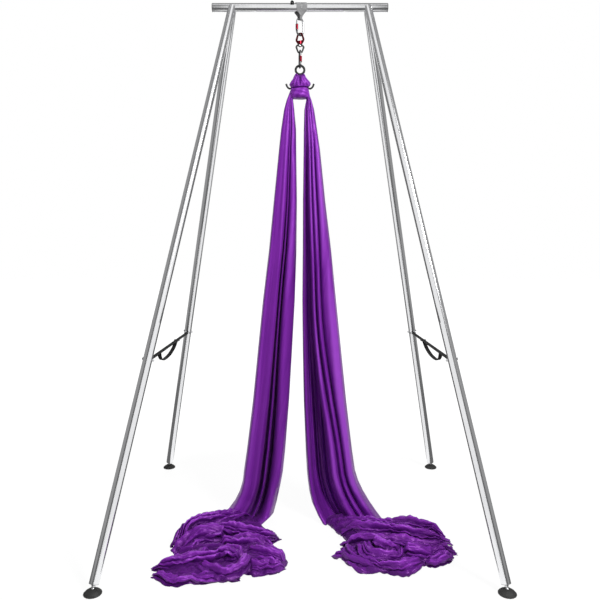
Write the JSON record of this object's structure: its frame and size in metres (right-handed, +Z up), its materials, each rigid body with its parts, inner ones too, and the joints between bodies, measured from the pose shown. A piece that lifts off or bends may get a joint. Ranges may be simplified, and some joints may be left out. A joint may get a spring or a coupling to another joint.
{
  "type": "aerial rig",
  "caption": "Freestanding aerial silks rig: a crossbar on splayed tube legs with a webbing sling, carabiners, a swivel, a figure eight and a long knotted silk.",
  "frame": {"origin": "on the floor at the middle of the four foot pads", "axes": "+Z up, +X along the crossbar to the right as seen from the front, +Y to the back"},
  "size_m": [1.926, 1.66, 2.968],
  "materials": {
    "tube_steel": "bright polished tube",
    "zinc_steel": "zinc plated",
    "carabiner_steel": "satin",
    "red_aluminium": "red anodised",
    "black_aluminium": "black anodised",
    "black_rubber": "matt",
    "black_plastic": "fine grain",
    "black_webbing": "woven webbing",
    "grey_webbing": "woven webbing",
    "purple_silk": "smooth stretch fabric with a soft sheen"
  },
  "bodies": {
    "frame": {"upper_leg_front_left": "tube_steel", "middle_leg_front_left": "tube_steel", "lower_leg_front_left": "tube_steel", "leg_bolt_front_left": "zinc_steel", "leg_nut_front_left": "zinc_steel", "foot_plug_front_left": "zinc_steel", "upper_leg_rear_left": "tube_steel", "middle_leg_rear_left": "tube_steel", "lower_leg_rear_left": "tube_steel", "leg_bolt_rear_left": "zinc_steel", "leg_nut_rear_left": "zinc_steel", "foot_plug_rear_left": "zinc_steel", "upper_leg_front_right": "tube_steel", "middle_leg_front_right": "tube_steel", "lower_leg_front_right": "tube_steel", "leg_bolt_front_right": "zinc_steel", "leg_nut_front_right": "zinc_steel", "foot_plug_front_right": "zinc_steel", "upper_leg_rear_right": "tube_steel", "middle_leg_rear_right": "tube_steel", "lower_leg_rear_right": "tube_steel", "leg_bolt_rear_right": "zinc_steel", "leg_nut_rear_right": "zinc_steel", "foot_plug_rear_right": "zinc_steel", "crossbar": "tube_steel", "end_cap_left": "black_plastic", "end_cap_right": "black_plastic", "side_strap_left": "black_webbing", "slide_buckle_left": "black_plastic", "side_strap_right": "black_webbing", "slide_buckle_right": "black_plastic"},
    "sling": {"sling": "grey_webbing", "sling_keeper": "black_webbing"},
    "upper_carabiner": {"upper_carabiner": "carabiner_steel", "upper_gate_pin": "zinc_steel"},
    "upper_gate": {"upper_gate": "carabiner_steel"},
    "upper_sleeve": {"upper_sleeve": "red_aluminium"},
    "swivel_upper": {"swivel_upper_eye": "red_aluminium", "swivel_bearing": "zinc_steel"},
    "swivel_lower": {"swivel_lower_eye": "black_aluminium", "swivel_axle": "zinc_steel"},
    "lower_carabiner": {"lower_carabiner": "carabiner_steel", "lower_gate_pin": "zinc_steel"},
    "lower_gate": {"lower_gate": "carabiner_steel"},
    "lower_sleeve": {"lower_sleeve": "red_aluminium"},
    "silk": {"figure_eight": "black_aluminium", "silk_knot": "purple_silk", "silk_left": "purple_silk", "silk_right": "purple_silk"},
    "foot_stem_front_left": {"foot_stem_front_left": "zinc_steel"},
    "foot_pad_front_left": {"foot_pad_front_left": "black_rubber"},
    "foot_stem_rear_left": {"foot_stem_rear_left": "zinc_steel"},
    "foot_pad_rear_left": {"foot_pad_rear_left": "black_rubber"},
    "foot_stem_front_right": {"foot_stem_front_right": "zinc_steel"},
    "foot_pad_front_right": {"foot_pad_front_right": "black_rubber"},
    "foot_stem_rear_right": {"foot_stem_rear_right": "zinc_steel"},
    "foot_pad_rear_right": {"foot_pad_rear_right": "black_rubber"}
  },
  "joints": [
    {"name": "sling_swing", "type": "hinge", "parent": "frame", "child": "sling", "pos_m": [0, 0, 2.92753], "axis": [1, 0, 0], "range_deg": [-4, 4]},
    {"name": "upper_carabiner_swing", "type": "hinge", "parent": "sling", "child": "upper_carabiner", "pos_m": [0, 0, 2.86553], "axis": [1, 0, 0], "range_deg": [-6.6, 6.6]},
    {"name": "upper_gate_hinge", "type": "hinge", "parent": "upper_carabiner", "child": "upper_gate", "pos_m": [-0.0178, -0.01293, 2.79003], "axis": [-0.5878, 0.809, 0], "range_deg": [0, 22], "stiffness_Nm_per_rad": 0.05},
    {"name": "upper_sleeve_slide", "type": "slide", "parent": "upper_gate", "child": "upper_sleeve", "axis": [0, 0, 1], "range_m": [0, 0.014]},
    {"name": "swivel_swing", "type": "hinge", "parent": "upper_carabiner", "child": "swivel_upper", "pos_m": [0, 0, 2.76753], "axis": [1, 0, 0], "range_deg": [-3, 3]},
    {"name": "swivel_spin", "type": "hinge", "parent": "swivel_upper", "child": "swivel_lower", "pos_m": [0, 0, 2.67953], "axis": [0, 0, 1], "continuous": true},
    {"name": "lower_carabiner_swing", "type": "hinge", "parent": "swivel_lower", "child": "lower_carabiner", "pos_m": [0, 0, 2.67953], "axis": [-0.1736, 0.9848, 0], "range_deg": [-1, 1]},
    {"name": "lower_gate_hinge", "type": "hinge", "parent": "lower_carabiner", "child": "lower_gate", "pos_m": [0.00382, -0.02167, 2.60403], "axis": [-0.9848, -0.1736, 0], "range_deg": [0, 22], "stiffness_Nm_per_rad": 0.05},
    {"name": "lower_sleeve_slide", "type": "slide", "parent": "lower_gate", "child": "lower_sleeve", "axis": [0, 0, 1], "range_m": [0, 0.014]},
    {"name": "silk_spin", "type": "hinge", "parent": "frame", "child": "silk", "pos_m": [0, 0, 2.58153], "axis": [0, 0, 1], "continuous": true},
    {"name": "foot_screw_front_left", "type": "slide", "parent": "frame", "child": "foot_stem_front_left", "axis": [-0.1745, -0.255, -0.9511], "range_m": [0, 0.012]},
    {"name": "foot_tilt_front_left", "type": "hinge", "parent": "foot_stem_front_left", "child": "foot_pad_front_left", "pos_m": [-0.922, -0.789, 0.022], "axis": [-0.8253, 0.5647, 0], "range_deg": [-15, 10]},
    {"name": "foot_screw_rear_left", "type": "slide", "parent": "frame", "child": "foot_stem_rear_left", "axis": [-0.1745, 0.255, -0.9511], "range_m": [0, 0.012]},
    {"name": "foot_tilt_rear_left", "type": "hinge", "parent": "foot_stem_rear_left", "child": "foot_pad_rear_left", "pos_m": [-0.922, 0.789, 0.022], "axis": [0.8253, 0.5647, 0], "range_deg": [-15, 10]},
    {"name": "foot_screw_front_right", "type": "slide", "parent": "frame", "child": "foot_stem_front_right", "axis": [0.1745, -0.255, -0.9511], "range_m": [0, 0.012]},
    {"name": "foot_tilt_front_right", "type": "hinge", "parent": "foot_stem_front_right", "child": "foot_pad_front_right", "pos_m": [0.922, -0.789, 0.022], "axis": [-0.8253, -0.5647, 0], "range_deg": [-15, 10]},
    {"name": "foot_screw_rear_right", "type": "slide", "parent": "frame", "child": "foot_stem_rear_right", "axis": [0.1745, 0.255, -0.9511], "range_m": [0, 0.012]},
    {"name": "foot_tilt_rear_right", "type": "hinge", "parent": "foot_stem_rear_right", "child": "foot_pad_rear_right", "pos_m": [0.922, 0.789, 0.022], "axis": [0.8253, -0.5647, 0], "range_deg": [-15, 10]}
  ],
  "couplings": [
    {"joint": "upper_carabiner_swing", "follows": "sling_swing", "ratio": -1.6327},
    {"joint": "swivel_swing", "follows": "sling_swing", "ratio": 0.63265},
    {"joint": "swivel_spin", "follows": "silk_spin", "ratio": 1}
  ]
}
